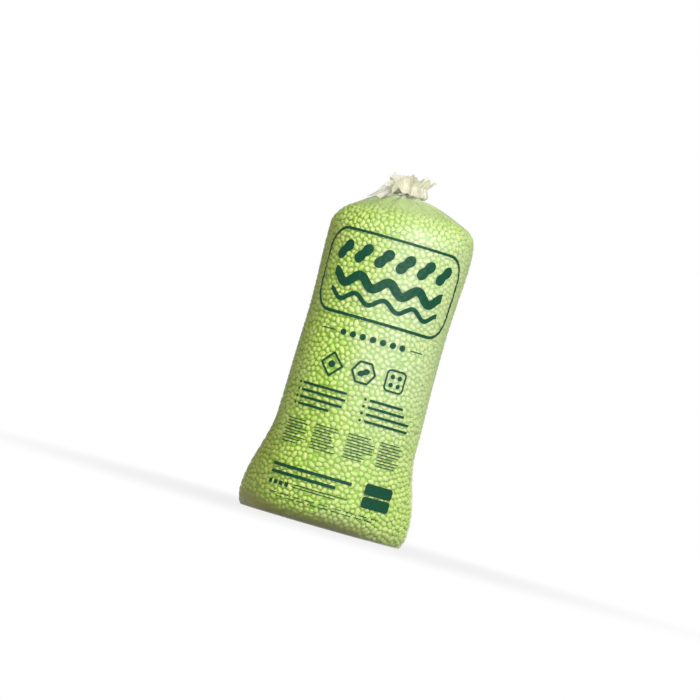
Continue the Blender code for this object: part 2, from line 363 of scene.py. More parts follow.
def new_piece(name, points, faces, material):
    """A mesh piece that rides on the row's one body."""
    mesh = bpy.data.meshes.new(name)
    sides = faces.shape[1]
    mesh.vertices.add(len(points))
    mesh.vertices.foreach_set("co", np.asarray(points, dtype=np.float32).ravel())
    mesh.loops.add(faces.size)
    mesh.loops.foreach_set("vertex_index", np.asarray(faces, dtype=np.int32).ravel())
    mesh.polygons.add(len(faces))
    mesh.polygons.foreach_set("loop_start", np.arange(len(faces), dtype=np.int32) * sides)
    mesh.polygons.foreach_set("use_smooth", np.ones(len(faces), dtype=bool))
    mesh.update(calc_edges=True)
    mesh.validate()
    mesh.materials.append(material)
    piece = bpy.data.objects.new(name, mesh)
    bpy.context.scene.collection.objects.link(piece)
    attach(piece, "root")
    return piece


# Materials

FILM_GREEN = (0.58, 0.76, 0.20)
# Milky film, also the colour of the painted sheen right of the middle.
FILM_MILK_AND_SHEEN = (0.88, 0.95, 0.80)
# Hazy film at the dome, also the painted lighter right side.
FILM_HAZE_AND_LIT_SIDE = (0.70, 0.87, 0.40)
# Painted shade on the left edge.
FILM_OLIVE_SHADE = (0.36, 0.38, 0.055)
# Painted shade along the foot, where the sack curves under.
FILM_BROWN_SHADE = (0.27, 0.26, 0.035)
RUFFLE_DARK = (0.70, 0.68, 0.52)
RUFFLE_PALE = (0.83, 0.81, 0.67)
PEANUT_GREEN = (0.56, 0.83, 0.09)
PEANUT_PALE = (0.80, 0.96, 0.28)
PEANUT_SPECKLE = (0.88, 0.98, 0.40)
# Peanuts paler under the milky film, partly a painted sheen.
PEANUT_MILK_AND_SHEEN = (0.86, 0.94, 0.66)
# Painted shade in the gaps between peanuts, plain and under the milky patches.
PEANUT_GAP_SHADE = (0.24, 0.46, 0.015)
PEANUT_GAP_SHADE_MILKY = (0.32, 0.52, 0.11)
# The deeper load, darker than the foam: painted shade.
CORE_SHADE_DARK = (0.30, 0.58, 0.015)
CORE_SHADE_LIGHT = (0.42, 0.72, 0.03)
INK_DARK = (0.0, 0.055, 0.025)
INK_THIN = (0.002, 0.085, 0.040)
TIE_WHITE = (0.84, 0.83, 0.77)
TIE_SCUFFED = (0.66, 0.66, 0.62)

# Where the milky patches with their painted sheen, the painted shade at the left edge, the foot and the gaps,
# the painted lighter right side and the film's other tones fade in or out, in metres.
MILK_PATCH_SIZE = 0.17
MILK_WANDER = 0.26
MILK_SHEEN_LEFT = (-0.20, 0.24)
MILK_SHEEN_RIGHT = (0.26, 0.44)
MILK_SHEEN_BOTTOM = (0.10, 0.80)
MILK_SHEEN_TOP = (1.33, 1.43)
DOME_HAZE = (0.15, 0.35)
NECK_HAZE = (0.03, 0.15)
FOOT_SHADE_TOP = (0.012, 0.090)
FOOT_SHADE_RIGHT = (0.08, 0.30)
LEFT_SHADE = (-0.335, -0.175)
LEFT_SHADE_TOP = (1.26, 1.42)
LIT_RIGHT_SIDE = (0.15, 0.33)
LIT_SIDE_RISE = (0.2, 1.1)
GAP_SHADE_DEPTH = (0.0095, 0.019)
FOAM_CELL = 0.0016


class Nodes:
    """The node tree of a material or a world, with the few node kinds used here."""

    def __init__(self, owner, shader="Principled BSDF"):
        owner.use_nodes = True
        self.owner = owner
        self.tree = owner.node_tree
        self.shader = self.tree.nodes[shader]
        self.place = self.add("ShaderNodeTexCoord").outputs["Object"]

    def add(self, kind, **settings):
        node = self.tree.nodes.new(kind)
        for key, value in settings.items():
            setattr(node, key, value)
        return node

    def link(self, output, node_input):
        self.tree.links.new(output, node_input)

    def set(self, **values):
        """Set the shader's own sockets: base_color sets Base Color, and so on."""
        for key, value in values.items():
            self.shader.inputs[key.replace("_", " ").title().replace("Ior", "IOR")].default_value = value

    def noise(self, size, detail=2.0, stretch=(1.0, 1.0, 1.0)):
        """Noise from 0 to 1 with swells about size across."""
        mapping = self.add("ShaderNodeMapping")
        mapping.inputs["Scale"].default_value = stretch
        self.link(self.place, mapping.inputs["Vector"])
        node = self.add("ShaderNodeTexNoise")
        node.inputs["Scale"].default_value = 1.0 / size
        node.inputs["Detail"].default_value = detail
        self.link(mapping.outputs["Vector"], node.inputs["Vector"])
        return node.outputs["Fac"]

    def math(self, operation, a, b):
        node = self.add("ShaderNodeMath", operation=operation)
        for slot, value in zip(node.inputs, (a, b)):
            if isinstance(value, float):
                slot.default_value = value
            else:
                self.link(value, slot)
        return node.outputs["Value"]

    def product(self, a, b):
        return self.math("MULTIPLY", a, b)

    def ramp(self, value, low, high, start, end):
        """start where value is low or less, end where it is high or more, even between them."""
        node = self.add("ShaderNodeMapRange", interpolation_type="SMOOTHSTEP")
        for key, number in zip(("From Min", "From Max", "To Min", "To Max"), (low, high, start, end)):
            node.inputs[key].default_value = number
        self.link(value, node.inputs["Value"])
        return node.outputs["Result"]

    def blend(self, value, first, second):
        """A colour between first, where value is 0, and second, where it is 1."""
        node = self.add("ShaderNodeMix", data_type="RGBA")
        self.link(value, node.inputs["Factor"])
        colour_inputs = [s for s in node.inputs if s.type == "RGBA"]
        for slot, colour in zip(colour_inputs, (first, second)):
            if isinstance(colour, tuple):
                slot.default_value = (*colour, 1.0)
            else:
                self.link(colour, slot)
        return [s for s in node.outputs if s.type == "RGBA"][0]

    def colour(self, colour):
        self.link(colour, self.shader.inputs["Base Color"])

    def bump(self, height, distance, strength):
        node = self.add("ShaderNodeBump")
        node.inputs["Distance"].default_value = distance
        node.inputs["Strength"].default_value = strength
        self.link(height, node.inputs["Height"])
        self.link(node.outputs["Normal"], self.shader.inputs["Normal"])


def new_material(name):
    return Nodes(bpy.data.materials.new(name))


def milky_haze_and_sheen(nodes):
    """Where a point lies across and up, and a share from 0 to 1 that is partly the film's milky haze and
    partly a painted sheen, strongest right of the middle at mid height, where the key light falls.
    """
    place = nodes.add("ShaderNodeSeparateXYZ")
    nodes.link(nodes.place, place.inputs["Vector"])
    across, up = place.outputs["X"], place.outputs["Z"]
    side = nodes.math("ADD", across, nodes.product(nodes.noise(MILK_PATCH_SIZE, 1.0), MILK_WANDER))
    milk_and_sheen = nodes.ramp(side, *MILK_SHEEN_LEFT, 0.0, 1.0)
    for share in (
        nodes.ramp(side, *MILK_SHEEN_RIGHT, 1.0, 0.75),
        nodes.ramp(up, *MILK_SHEEN_BOTTOM, 0.42, 1.0),
        nodes.ramp(up, *MILK_SHEEN_TOP, 1.0, 0.45),
    ):
        milk_and_sheen = nodes.product(milk_and_sheen, share)
    return across, up, milk_and_sheen


def film_material():
    """Thin film: milky in patches to the right, which also paint the key light's sheen, and milky at the
    neck, with painted light on the right side and painted shade in olive at the left edge and brown at the
    foot.
    """
    nodes = new_material("film_clear")
    nodes.set(roughness=0.32, specular_ior_level=0.8)
    across, up, milk_and_sheen = milky_haze_and_sheen(nodes)
    distance = nodes.add("ShaderNodeVectorMath", operation="DISTANCE")
    nodes.link(nodes.place, distance.inputs[0])
    distance.inputs[1].default_value = (NECK_OFFSET, 0.0, NECK_BASE)
    from_neck = distance.outputs["Value"]
    dome = nodes.ramp(from_neck, *DOME_HAZE, 1.0, 0.0)
    neck = nodes.ramp(from_neck, *NECK_HAZE, 1.0, 0.0)
    # Painted shade: the foot, where the sack curves under, turns brown and less clear, less so to the right.
    foot = nodes.product(nodes.ramp(up, *FOOT_SHADE_TOP, 1.0, 0.0), nodes.ramp(across, *FOOT_SHADE_RIGHT, 1.0, 0.35))
    # Painted shade: below the shoulder, the left edge turns olive and less clear, as if turned away from the
    # light.
    edge = nodes.product(nodes.ramp(across, *LEFT_SHADE, 1.0, 0.0), nodes.ramp(up, *LEFT_SHADE_TOP, 1.0, 0.0))
    # Painted light: the lit right side, most in its upper half, turns a paler hazy green, as the film looks
    # there at a grazing angle.
    side = nodes.product(nodes.ramp(across, *LIT_RIGHT_SIDE, 0.0, 1.0), nodes.ramp(up, *LIT_SIDE_RISE, 0.2, 1.0))
    # The film's milky patches, which right of the middle also paint the key light's sheen.
    colour = nodes.blend(milk_and_sheen, FILM_GREEN, FILM_MILK_AND_SHEEN)
    colour = nodes.blend(nodes.math("MAXIMUM", dome, side), colour, FILM_HAZE_AND_LIT_SIDE)
    colour = nodes.blend(neck, colour, FILM_MILK_AND_SHEEN)
    colour = nodes.blend(edge, colour, FILM_OLIVE_SHADE)
    colour = nodes.blend(foot, colour, FILM_BROWN_SHADE)
    nodes.colour(colour)
    # The painted sheen, the painted shade and the painted lighter side also make the film less clear.
    haze = nodes.product(milk_and_sheen, 0.25)
    for share, strength in ((side, 0.30), (foot, 0.58), (edge, 0.38), (dome, 0.52), (neck, 0.14)):
        haze = nodes.math("ADD", haze, nodes.product(share, strength))
    nodes.link(nodes.math("ADD", haze, 0.06), nodes.shader.inputs["Alpha"])
    nodes.bump(nodes.noise(0.006, 3.0, (1.0, 1.0, 0.45)), 0.0006, 0.5)
    return nodes.owner


def ruffle_material():
    """The same film in many layers, so nearly opaque."""
    nodes = new_material("film_ruffle")
    nodes.set(roughness=0.36, specular_ior_level=0.8)
    cloud = nodes.noise(0.03, 3.0)
    nodes.colour(nodes.blend(cloud, RUFFLE_DARK, RUFFLE_PALE))
    nodes.link(nodes.ramp(cloud, 0.3, 0.7, 0.74, 0.94), nodes.shader.inputs["Alpha"])
    nodes.bump(nodes.noise(0.005, 3.0), 0.0008, 0.6)
    return nodes.owner


def peanut_material():
    """Foamed polystyrene: pale near the film, with painted shade as a deeper green in the gaps, each peanut a
    little unlike.
    """
    nodes = new_material("peanut_foam")
    nodes.set(roughness=0.72)
    tint = nodes.add("ShaderNodeAttribute", attribute_name="tint").outputs["Fac"]
    depth = nodes.add("ShaderNodeAttribute", attribute_name="depth").outputs["Fac"]
    patch = nodes.ramp(nodes.noise(0.10), 0.30, 0.70, -0.30, 0.30)
    pale = nodes.blend(nodes.math("ADD", tint, patch), PEANUT_GREEN, PEANUT_PALE)
    speckle = nodes.ramp(nodes.noise(0.004, 3.0), 0.35, 0.65, 0.0, 0.30)
    pale = nodes.blend(speckle, pale, PEANUT_SPECKLE)
    # Painted sheen: the peanuts are paler where the film's milky patches and painted sheen lie.
    milk_and_sheen = milky_haze_and_sheen(nodes)[2]
    pale = nodes.blend(nodes.product(milk_and_sheen, 0.40), pale, PEANUT_MILK_AND_SHEEN)
    # Painted shade: the deeper a point lies below the film, the darker and greener it is.
    deep = nodes.blend(milk_and_sheen, PEANUT_GAP_SHADE, PEANUT_GAP_SHADE_MILKY)
    nodes.colour(nodes.blend(nodes.ramp(depth, *GAP_SHADE_DEPTH, 0.0, 1.0), pale, deep))
    cells = nodes.add("ShaderNodeTexVoronoi")
    cells.inputs["Scale"].default_value = 1.0 / FOAM_CELL
    nodes.link(nodes.place, cells.inputs["Vector"])
    nodes.bump(cells.outputs["Distance"], 0.0004, 0.5)
    return nodes.owner


def core_material():
    """The deeper peanuts, seen only through the gaps between the outer ones, in a darker green than the foam:
    painted shade.
    """
    nodes = new_material("peanut_core")
    nodes.set(roughness=0.8)
    blot = nodes.noise(0.020)
    nodes.colour(nodes.blend(blot, CORE_SHADE_DARK, CORE_SHADE_LIGHT))
    nodes.bump(blot, 0.004, 1.0)
    return nodes.owner


def ink_material():
    """Dark green ink on the film, thinner in places."""
    nodes = new_material("print_ink")
    nodes.set(roughness=0.5, specular_ior_level=0.3)
    nodes.colour(nodes.blend(nodes.noise(0.012, 4.0), INK_DARK, INK_THIN))
    nodes.bump(nodes.noise(0.004), 0.0003, 0.4)
    return nodes.owner


def tie_material():
    """Off-white plastic over wire, scuffed in places."""
    nodes = new_material("tie_plastic")
    nodes.set(roughness=0.45)
    scuff = nodes.ramp(nodes.noise(0.002, 3.0), 0.45, 0.7, 0.0, 1.0)
    nodes.colour(nodes.blend(scuff, TIE_WHITE, TIE_SCUFFED))
    nodes.bump(nodes.noise(0.0012), 0.0002, 0.5)
    return nodes.owner


# The film's shape


def sack_grid(columns, rows):
    """The plain film with its dents: station of each row, angles, points and outward directions."""
    found = stations(rows)
    angles = np.arange(columns) * math.tau / columns
    grid = np.array([film_row(s, angles) for s in found])
    out = normals_of(grid)
    out[found < ROUNDING + 0.02] = (0.0, 0.0, -1.0)
    fade = smooth(found - FLARE) * smooth(SHOULDER - found)
    held = (found > FLARE) & (found < SHOULDER)
    grid[held] += (DENT_DEPTH * fade[held, None] * noise_at(grid[held], DENT_SIZE))[..., None] * out[held]
    return found, angles, grid, out


def gathers(found, angles, grid):
    """How far the film stands out in the gathers that run from the neck down over the dome."""
    rng = np.random.default_rng(SEED + 1)
    radius = np.linalg.norm(grid[..., :2] - (NECK_OFFSET, 0.0), axis=2)
    height = np.zeros(radius.shape)
    for _ in range(GATHERS):
        heading = rng.uniform(0.0, math.tau)
        reach = rng.uniform(*GATHER_REACH)
        width = rng.uniform(*GATHER_WIDTH)
        depth = GATHER_DEPTH * rng.uniform(0.3, 1.0)
        wander = GATHER_WANDER * rng.uniform(-1.0, 1.0)
        off = off_from(angles[None, :], heading + wander * radius)
        ridge = np.exp(-((off * radius / (width + GATHER_WIDENS * radius)) ** 2))
        height += depth * ridge * smooth(1.0 - radius / reach) * smooth(radius / GATHER_START + 0.15)
    height *= (found >= SHOULDER)[:, None]
    t = np.clip(found - DOME, 0.0, 1.0)[:, None]
    depth = mix(PLEAT_START, 1.0, smooth(t / PLEAT_NARROWS)) * PLEAT_DEPTH
    depth = mix(depth, NECK_PLEAT_DEPTH, smooth((t - PLEAT_NARROWS) / (1.0 - PLEAT_NARROWS)))
    return height + depth * np.cos(PLEATS * angles) * (found >= DOME)[:, None]


def creases(angles, grid, held):
    """Slack creases on the wall: long shallow ridges, mostly near the ears and under the shoulders."""
    rng = np.random.default_rng(SEED + 2)
    z = grid[..., 2]
    height = np.zeros(z.shape)
    for _ in range(CREASES):
        low = rng.random() < 0.5
        levels, leans, spread = LOW_CREASES if low else HIGH_CREASES
        side = rng.choice((0.0, math.pi)) if low else rng.uniform(0.0, math.tau)
        heading = side + rng.normal(0.0, spread)
        level = rng.uniform(*levels)
        length = rng.uniform(*CREASE_LENGTH)
        width = rng.uniform(*CREASE_WIDTH)
        lean = rng.uniform(*leans)
        depth = CREASE_DEPTH * rng.uniform(0.35, 1.0)
        off = off_from(angles[None, :], heading) * CREASE_RADIUS - lean * (z - level)
        height += depth * np.exp(-((off / width) ** 2)) * smooth(1.0 - np.abs(z - level) / length)
    return height * held[:, None]


def drape(found, grid, out, balls, radii):
    """The film's height over its plain surface where it is drawn over the peanuts' balls."""
    tree = tree_of(balls)
    flat = grid.reshape(-1, 3)
    near = np.array([[hit[1] for hit in tree.find_n(p, 3)] for p in flat])
    away = balls[near] - flat[:, None, :]
    deep = -np.einsum("pni,pi->pn", away, out.reshape(-1, 3))
    across = (away**2).sum(axis=2) - deep**2
    cap = np.sqrt(np.maximum(radii[near] ** 2 - across, 0.0))
    touch = np.where(across < radii[near] ** 2, cap - deep, -1.0).max(axis=1).reshape(grid.shape[:2])
    touch += FILM_CLEARANCE
    height = np.maximum(touch, -FILM_REST - FILM_SAG)
    for _ in range(FILM_EASING_STEPS):
        beside = np.roll(height, 1, axis=1) + np.roll(height, -1, axis=1)
        padded = np.pad(height, ((1, 1), (0, 0)), mode="edge")
        height = (1.0 - 4.0 * FILM_EASING) * height + FILM_EASING * (beside + padded[:-2] + padded[2:])
        height = np.maximum(height, touch)
    fade = smooth((found - ROUNDING) * 2.0) * smooth((NECK - 0.55 - found) * 2.0)
    return height * fade[:, None]


# The peanuts


def stand_off(station):
    """How far below the plain film the peanuts are pressed: close on the wall, further under the dome."""
    return mix(FILM_REST, FILM_STAND_OFF, smooth(station - SHOULDER - 0.4))


def scatter(found, grid, rng):
    """Random places on the film, as many per square metre everywhere, with the station of each."""
    corner = grid[:-1]
    beside = np.roll(grid, -1, axis=1)[:-1]
    above = grid[1:]
    area = np.linalg.norm(np.cross(beside - corner, above - corner), axis=2)
    area *= (found[:-1] < HEAP_TOP)[:, None]
    count = round(area.sum() / PEANUT_AREA)
    share = np.cumsum(area.ravel()) / area.sum()
    cell = np.searchsorted(share, (np.arange(count) + rng.random(count)) / count)
    cell = np.minimum(cell, share.size - 1)
    row, column = np.divmod(cell, grid.shape[1])
    u, v = rng.random((2, count, 1))
    origin = corner[row, column]
    points = origin + u * (beside[row, column] - origin) + v * (above[row, column] - origin)
    return points, found[row]


def ball_pairs(middle, axis, half):
    """The two balls of each peanut, one after the other."""
    shift = axis * half[:, None]
    return np.stack((middle - shift, middle + shift), axis=1).reshape(-1, 3)


def middles_and_axes(balls):
    """The middle and the direction of each peanut."""
    return 0.5 * (balls[0::2] + balls[1::2]), unit(balls[1::2] - balls[0::2])


def neighbours(balls, reach):
    """The pairs of balls of different peanuts that lie within reach of each other."""
    tree = tree_of(balls)
    found = []
    for i, ball in enumerate(balls):
        for _, j, _ in tree.find_range(ball, reach):
            if j > i and j // 2 != i // 2:
                found.append((i, j))
    return np.array(found)


def push_apart(balls, radii, pairs):
    """Move the balls that overlap away from each other, by a share of the overlap."""
    first, second = pairs.T
    apart = balls[second] - balls[first]
    gap = np.linalg.norm(apart, axis=1)
    overlap = np.maximum(radii[first] + radii[second] - gap, 0.0)
    push = (PUSH_SHARE * overlap / np.maximum(gap, 1e-6))[:, None] * apart
    np.add.at(balls, first, -push)
    np.add.at(balls, second, push)


def press(balls, wall, rest, slack):
    """Put each ball that is too near the film at its rest, and pull one that is too deep towards it."""
    for i, ball in enumerate(balls):
        place, normal, _, _ = wall.find_nearest(ball)
        deep = (place - Vector(ball)).dot(normal)
        if deep < rest[i]:
            balls[i] = ball - np.array(normal) * (rest[i] - deep)
        elif deep > rest[i] + slack[i]:
            balls[i] = ball + np.array(normal) * PULL_SHARE * (deep - rest[i] - slack[i])


def settle(found, grid):
    """Peanuts under the film, each as two balls held apart, pushed off the other balls and the film."""
    rng = np.random.default_rng(SEED)
    points, station = scatter(found, grid, rng)
    count = len(points)
    wall = BVHTree.FromPolygons(grid.reshape(-1, 3).tolist(), grid_faces(*grid.shape[:2]).tolist())
    size = rng.uniform(*PEANUT_SIZES, count)
    radii = np.repeat(PEANUT_LOBE * size, 2)
    half = 0.5 * LOBE_SPACING * size
    axis = rng.normal(size=(count, 3))
    inward = np.array([-wall.find_nearest(p)[1] for p in points])
    axis = unit(axis - LYING_SHARE * (axis * inward).sum(axis=1, keepdims=True) * inward)
    middle = points + inward * (rng.uniform(*PEANUT_DEPTHS, (count, 1)) + stand_off(station)[:, None])
    balls = ball_pairs(middle, axis, half)
    rest = np.repeat(stand_off(station), 2) + radii
    slack = np.abs(rng.normal(0.0, PEANUT_SLACK, 2 * count))
    for step in range(SETTLING_STEPS):
        if step % STEPS_PER_SEARCH == 0:
            pairs = neighbours(balls, 2.0 * radii.max() + SEARCH_MARGIN)
        push_apart(balls, radii, pairs)
        balls = ball_pairs(*middles_and_axes(balls), half)
        press(balls, wall, rest, slack)
    return balls, radii, size, wall


def peanut_shapes(rng):
    """A few peanuts along X, slightly unlike each other: rings of points between two end points."""
    half = 0.5 * PEANUT_LENGTH
    end = PEANUT_END_AT * half
    lobe = 0.5 * LOBE_SPACING
    places = (-end, -lobe, 0.0, lobe, end)
    reaches = (PEANUT_END * PEANUT_LOBE, PEANUT_LOBE, PEANUT_WAIST, PEANUT_LOBE, PEANUT_END * PEANUT_LOBE)
    turn = np.arange(PEANUT_SEGMENTS) * math.tau / PEANUT_SEGMENTS
    shapes = []
    for _ in range(PEANUT_KINDS):
        bend = PEANUT_BEND * rng.uniform(-1.0, 1.4)
        points = [(-half * PEANUT_TIP, 0.0, 0.0)]
        for place, reach in zip(places, reaches):
            reach *= rng.uniform(0.91, 1.0)
            for a in turn:
                points.append((place, reach * math.cos(a), PEANUT_FLATNESS * reach * math.sin(a)))
        points.append((half * PEANUT_TIP, 0.0, 0.0))
        points = np.array(points)
        points[:, 2] += bend * (1.0 - (points[:, 0] / half) ** 2)
        shapes.append(points)
    return np.array(shapes)


def peanut_faces():
    """Triangles of one peanut, facing out."""
    rings, sides = 5, PEANUT_SEGMENTS
    last = 1 + rings * sides
    faces = []
    for i in range(sides):
        j = (i + 1) % sides
        faces.append((0, 1 + j, 1 + i))
        faces.append((last, last - sides + i, last - sides + j))
        for k in range(rings - 1):
            a, b = 1 + k * sides + i, 1 + k * sides + j
            faces.append((a, b, b + sides))
            faces.append((a, b + sides, a + sides))
    return np.array(faces)


def turned(axis, rng):
    """Rotations that take X to each axis, with a random roll about it."""
    helper = rng.normal(size=axis.shape)
    side = unit(np.cross(axis, helper))
    return np.stack((axis, side, np.cross(axis, side)), axis=2)


def make_peanuts(balls, size, wall, material):
    """The settled peanuts in pieces from the bottom up, with a tint and each point's depth."""
    rng = np.random.default_rng(SEED + 3)
    middle, axis = middles_and_axes(balls)
    nearest = [wall.find_nearest(p)[:2] for p in middle]
    inward = -np.array([normal for _, normal in nearest])
    deep = np.einsum("pi,pi->p", middle - np.array([place for place, _ in nearest]), inward)
    shapes, faces = peanut_shapes(rng), peanut_faces()
    kind = rng.integers(0, PEANUT_KINDS, len(middle))
    points = np.einsum("pij,pnj->pni", turned(axis, rng), shapes[kind] * size[:, None, None])
    depth = deep[:, None] + np.einsum("pni,pi->pn", points, inward)
    points += middle[:, None, :]
    tint = rng.random(len(middle))
    each = shapes.shape[1]
    order = np.argsort(middle[:, 2])
    for number, first in enumerate(range(0, len(order), PEANUTS_PER_PIECE)):
        chosen = order[first : first + PEANUTS_PER_PIECE]
        shift = np.arange(len(chosen))[:, None, None] * each
        piece = new_piece(
            f"peanuts_{number + 1}",
            points[chosen].reshape(-1, 3),
            (faces[None] + shift).reshape(-1, 3),
            material,
        )
        # The depth carries the painted shade in the gaps, which the peanut material draws.
        for key, values in (("tint", np.repeat(tint[chosen], each)), ("depth", depth[chosen].ravel())):
            layer = piece.data.attributes.new(key, "FLOAT", "POINT")
            layer.data.foreach_set("value", values.astype(np.float32))
        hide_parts("peanut_load")


def make_core(material):
    """The load behind the outer peanuts: a closed pebbled surface."""
    found, _, grid, out = sack_grid(CORE_COLUMNS, CORE_ROWS)
    kept = found <= HEAP_TOP + 0.02
    found, grid, out = found[kept], grid[kept], out[kept]
    pebble = PEBBLE_DEPTH * noise_at(grid, PEBBLE_SIZE, 3.0)
    grid = grid - out * (CORE_DEPTH + stand_off(found)[:, None, None] - pebble[..., None])
    grid[..., 2] = np.maximum(grid[..., 2], CORE_FLOOR)
    top = grid[-1].mean(axis=0)
    grid = np.concatenate((grid, [top + share * (grid[-1] - top) for share in (0.66, 0.33, 0.02)]))
    piece = new_piece("peanut_core", grid.reshape(-1, 3), grid_faces(*grid.shape[:2]), material)
    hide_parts("peanut_load")


# The film pieces


def make_sack(found, angles, grid, out, balls, radii, material):
    """The film from the base to the neck. It gives its points, for the print."""
    height = drape(found, grid, out, balls, radii)
    wall = (found > ROUNDING + 0.6) & (found < DOME)
    height += creases(angles, grid, wall)
    height += gathers(found, angles, grid)
    points = grid + height[..., None] * out
    points[found <= ROUNDING, :, 2] = 0.0
    points[..., 2] = np.maximum(points[..., 2], 0.0)
    piece = new_piece("film_wall", points.reshape(-1, 3), grid_faces(*grid.shape[:2]), material)
    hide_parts("film_sack")
    return points


def throat_rows(rim, angles):
    """The film gathered and twisted shut inside the neck, from its middle out to the ruffle's first row."""
    rows = []
    for share in np.linspace(0.04, 1.0, THROAT_ROWS + 1)[:-1]:
        twisted = angles - THROAT_TWIST * (1.0 - share)
        fold = THROAT_FOLD_DEPTH * math.sin(math.pi * share) * np.cos(PLEATS * angles)
        reach = share * np.hypot(rim[:, 0] - NECK_OFFSET, rim[:, 1])
        up = mix(NECK_TOP - THROAT_DIP, rim[:, 2], share * share) + fold
        rows.append(neck_row(reach, twisted, up))
    return np.array(rows)


def make_ruffle(material):
    """The gathered mouth: deep folds, fine crimps and a torn-looking rim."""
    rng = np.random.default_rng(SEED + 4)
    angles = np.arange(RUFFLE_COLUMNS) * math.tau / RUFFLE_COLUMNS
    waves = [(count, rng.uniform(0.0, math.tau), rng.uniform(0.7, 1.0)) for count in CRIMPS]
    slide_count, slide_start, _ = waves[1]
    ragged = np.ones_like(angles)
    for count, start, depth in RIM_WAVES:
        ragged += depth * np.sin(count * angles + start)
    steps = np.linspace(0.0, 1.0, RUFFLE_ROWS)
    grid = np.array([ruffle_row(t, angles, ragged) for t in steps])
    out = normals_of(grid)
    sideways = unit(np.roll(grid, -1, axis=1) - np.roll(grid, 1, axis=1))
    wing = toward(angles, WING_HEADING, WING_SPREAD, WING_FADE)
    folds = sum(share * np.sin(count * angles + start) for count, start, share in FOLD_WAVES)
    rough = ROUGH_DEPTH * noise_at(grid, ROUGH_SIZE, 9.0)
    points = []
    for row, t in enumerate(steps):
        pleats = NECK_PLEAT_DEPTH * np.cos(PLEATS * angles) * (1.0 - smooth(t))
        crimps = np.zeros_like(angles)
        for count, start, strength in waves:
            twist = CRIMP_TWIST * t * math.sin(count)
            crimps += strength * CRIMP_DEPTH / count * np.sin(count * angles + start + twist)
        keep = smooth(1.3 * t) * (1.0 - 0.35 * wing)
        height = pleats + RUFFLE_FOLD_DEPTH * folds * smooth(t) + crimps * keep + rough[row] * smooth(2.0 * t)
        slide = CRIMP_SLIDE * keep * np.sin(slide_count * angles + slide_start + CRIMP_SLIDE_START)
        points.append(grid[row] + height[:, None] * out[row] + slide[:, None] * sideways[row])
    points = np.concatenate((throat_rows(points[0], angles), points))
    piece = new_piece("film_mouth", points.reshape(-1, 3), grid_faces(*points.shape[:2]), material)
    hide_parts("film_sack")


# The print


class Sheet:
    """The film's front laid flat: u runs across from the middle of the front, v up from the floor."""

    def __init__(self, found, grid, points, out):
        rows = np.nonzero((found >= ROUNDING + 0.5) & (found <= SHOULDER))[0]
        shift = grid.shape[1] // 2 - round(FRONT_COLUMN_SHARE * grid.shape[1])
        plain = np.roll(grid[rows], shift, axis=1)
        self.levels = plain[..., 2].mean(axis=1)
        self.points = np.roll(points[rows], shift, axis=1)
        self.out = np.roll(out[rows], shift, axis=1)
        steps = np.linalg.norm(np.diff(plain, axis=1), axis=2)
        across = np.concatenate((np.zeros((len(rows), 1)), np.cumsum(steps, axis=1)), axis=1)
        self.across = across - across[:, plain.shape[1] // 2, None]
        self.columns = np.arange(plain.shape[1], dtype=float)

    def place(self, u, v):
        """The points just over the film for flat points u, v."""
        row = np.interp(v, self.levels, np.arange(len(self.levels)))
        low = np.minimum(row.astype(int), len(self.levels) - 2)
        up = row - low
        column = np.array(
            [
                np.interp(a, mix(self.across[r], self.across[r + 1], t), self.columns)
                for a, r, t in zip(u, low, up)
            ]
        )
        left = np.minimum(column.astype(int), len(self.columns) - 2)
        beside = (column - left)[:, None]
        up = up[:, None]
        found = []
        for layer in (self.points, self.out):
            lower = mix(layer[low, left], layer[low, left + 1], beside)
            upper = mix(layer[low + 1, left], layer[low + 1, left + 1], beside)
            found.append(mix(lower, upper, up))
        return found[0] + INK_PROUD * found[1]


class Ink:
    """Shapes of ink collected into one piece."""

    def __init__(self):
        self.flat, self.faces, self.count = [], [], 0

    def patch(self, flat, closed):
        """A grid of flat points, rows by columns."""
        rows, columns = flat.shape[:2]
        self.flat.append(flat.reshape(-1, 2))
        self.faces.append(grid_faces(rows, columns, closed, self.count))
        self.count += rows * columns

    def stroke(self, path, width, closed=False):
        """A line of one width along a path of flat points."""
        path = np.asarray(path, dtype=float)
        if closed:
            along = np.roll(path, -1, axis=0) - np.roll(path, 1, axis=0)
        else:
            along = np.gradient(path, axis=0)
        along /= np.linalg.norm(along, axis=1, keepdims=True)
        side = np.stack((-along[:, 1], along[:, 0]), axis=1)
        lines = max(2, math.ceil(width / INK_STEP)) + 1
        offsets = np.linspace(-0.5 * width, 0.5 * width, lines)
        self.patch(path[None] - offsets[:, None, None] * side[None], closed)

    def solid(self, outline, centre):
        """A filled shape whose outline can be seen whole from its centre."""
        outline, centre = np.asarray(outline), np.asarray(centre)
        reach = np.linalg.norm(outline - centre, axis=1).max()
        shares = np.linspace(1.0, 0.01, max(2, math.ceil(reach / INK_STEP)))
        self.patch(np.array([centre + share * (outline - centre) for share in shares]), True)

    def bar(self, left, right, v, width):
        steps = max(2, math.ceil((right - left) / INK_STEP)) + 1
        self.stroke([(u, v) for u in np.linspace(left, right, steps)], width)

    def dot(self, centre, radius):
        self.solid(circle(centre, radius), centre)

    def make(self, name, sheet, material):
        flat = np.concatenate(self.flat)
        points = sheet.place(flat[:, 0], flat[:, 1])
        piece = new_piece(name, points, np.concatenate(self.faces), material)
        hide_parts("film_sack")


def around(centre, reach, turn):
    """The flat points at a reach and a turn from centre."""
    return np.stack((centre[0] + reach * np.cos(turn), centre[1] + reach * np.sin(turn)), axis=-1)


def circle(centre, radius):
    count = max(12, math.ceil(math.tau * radius / INK_STEP))
    return around(centre, radius, np.arange(count) * math.tau / count)


